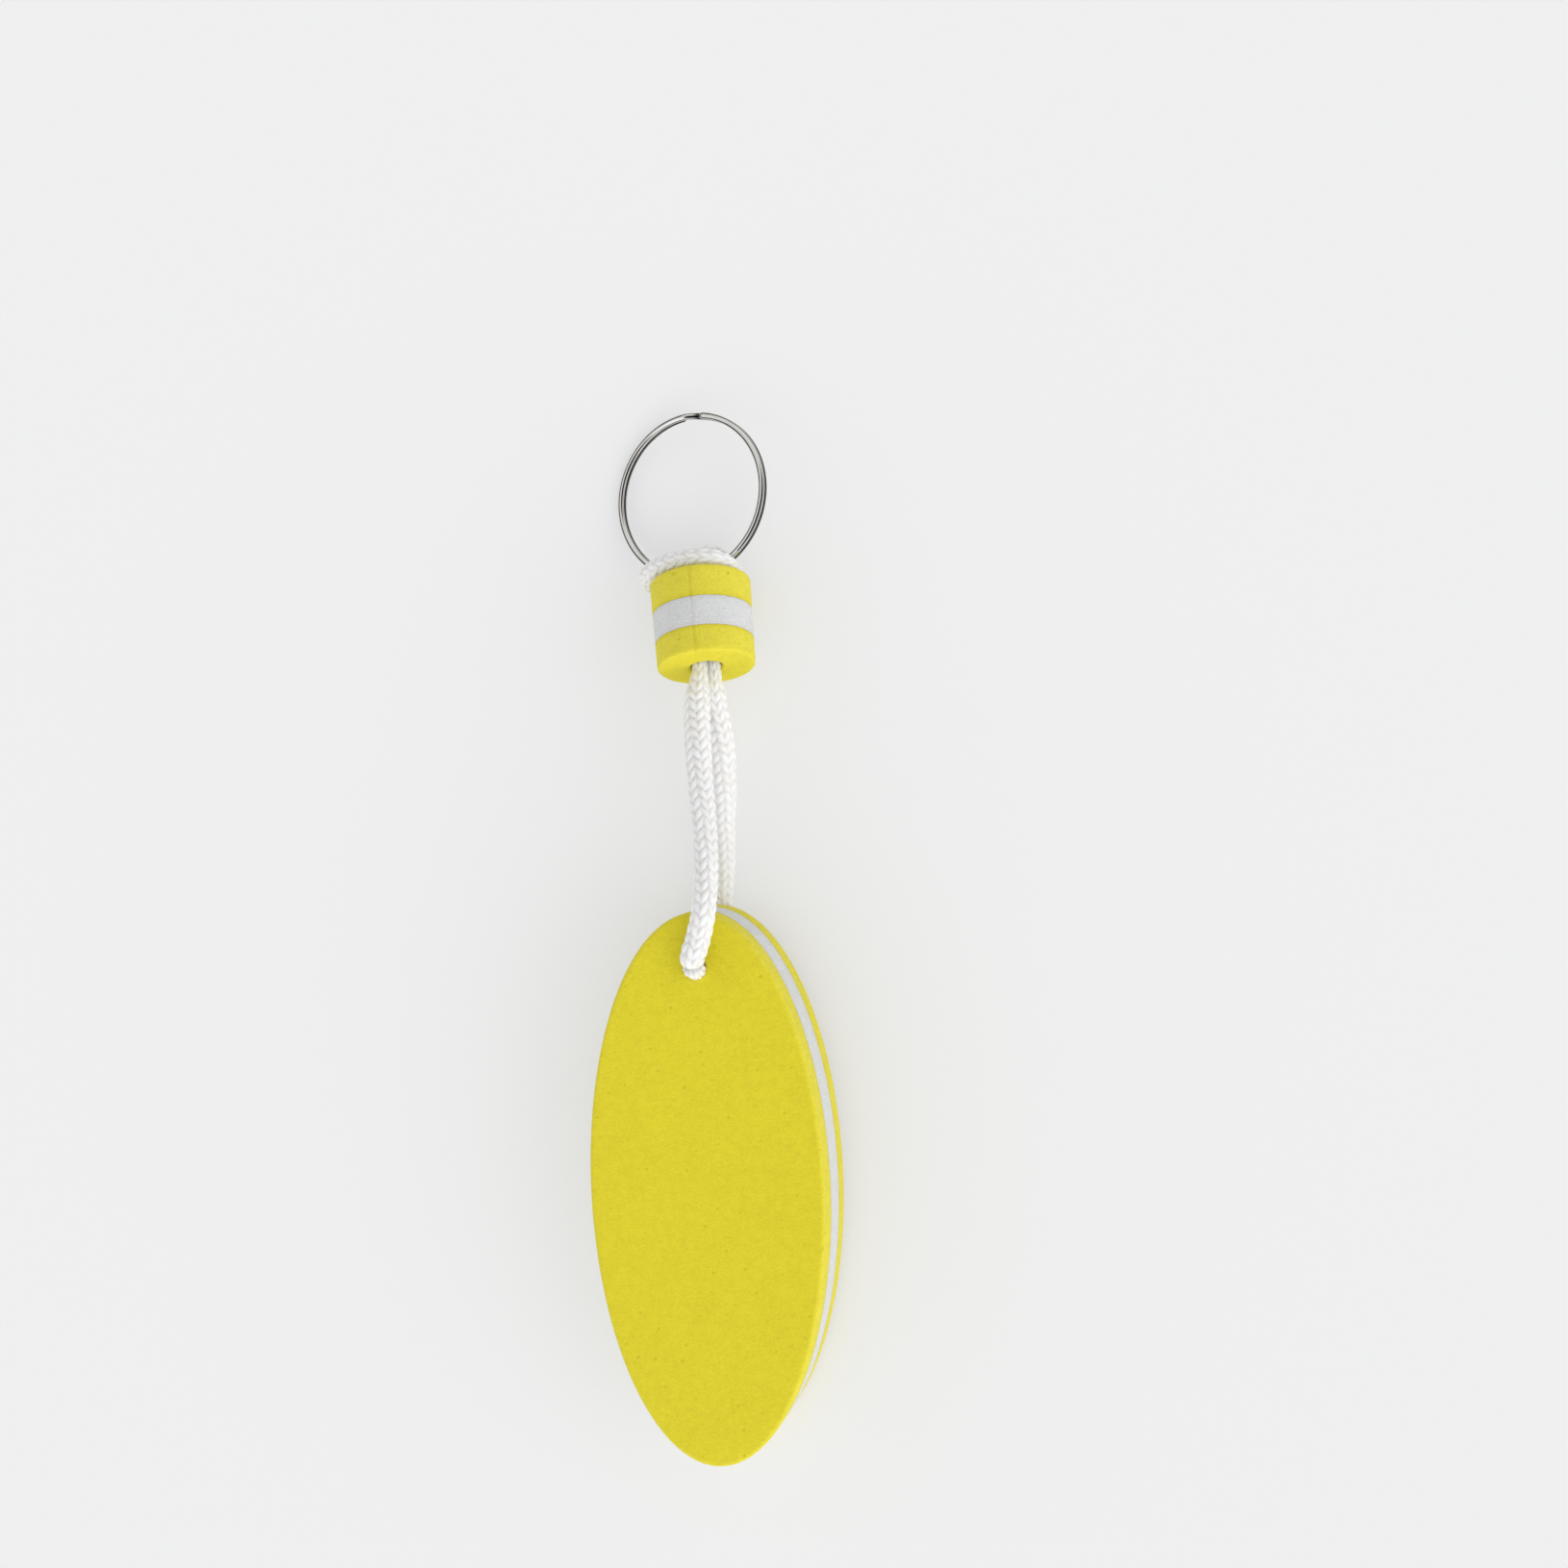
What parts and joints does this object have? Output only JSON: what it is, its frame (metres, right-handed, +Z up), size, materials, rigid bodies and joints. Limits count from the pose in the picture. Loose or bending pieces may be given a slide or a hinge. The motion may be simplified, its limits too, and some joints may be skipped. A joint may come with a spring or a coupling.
{
  "type": "floating keychain",
  "caption": "Oval foam float and foam bead on a loop of braided cord hitched to a steel split ring, to keep dropped keys afloat.",
  "frame": {"origin": "centre of the footprint without the cord, on the table", "axes": "+Y from the float to the ring, +X across, +Z up; it lies as it comes to rest"},
  "size_m": [0.0394, 0.1744, 0.0244],
  "materials": {
    "yellow_foam": "matt closed-cell foam",
    "white_foam": "matt closed-cell foam",
    "white_braid": "braided polyester",
    "bright_steel": "bright nickel plate"
  },
  "bodies": {
    "float_and_cord": {"float_face_sheet": "yellow_foam", "float_core_sheet": "white_foam", "float_back_sheet": "yellow_foam", "bead_ring_end_sheet": "yellow_foam", "bead_core_sheet": "white_foam", "bead_float_end_sheet": "yellow_foam", "cord": "white_braid"},
    "ring": {"split_ring": "bright_steel"}
  },
  "joints": [
    {"name": "ring_turn", "type": "hinge", "parent": "float_and_cord", "child": "ring", "pos_m": [-0.00294, 0.07284, 0.00433], "axis": [-0.2328, 0.06, 0.9707], "continuous": true}
  ]
}
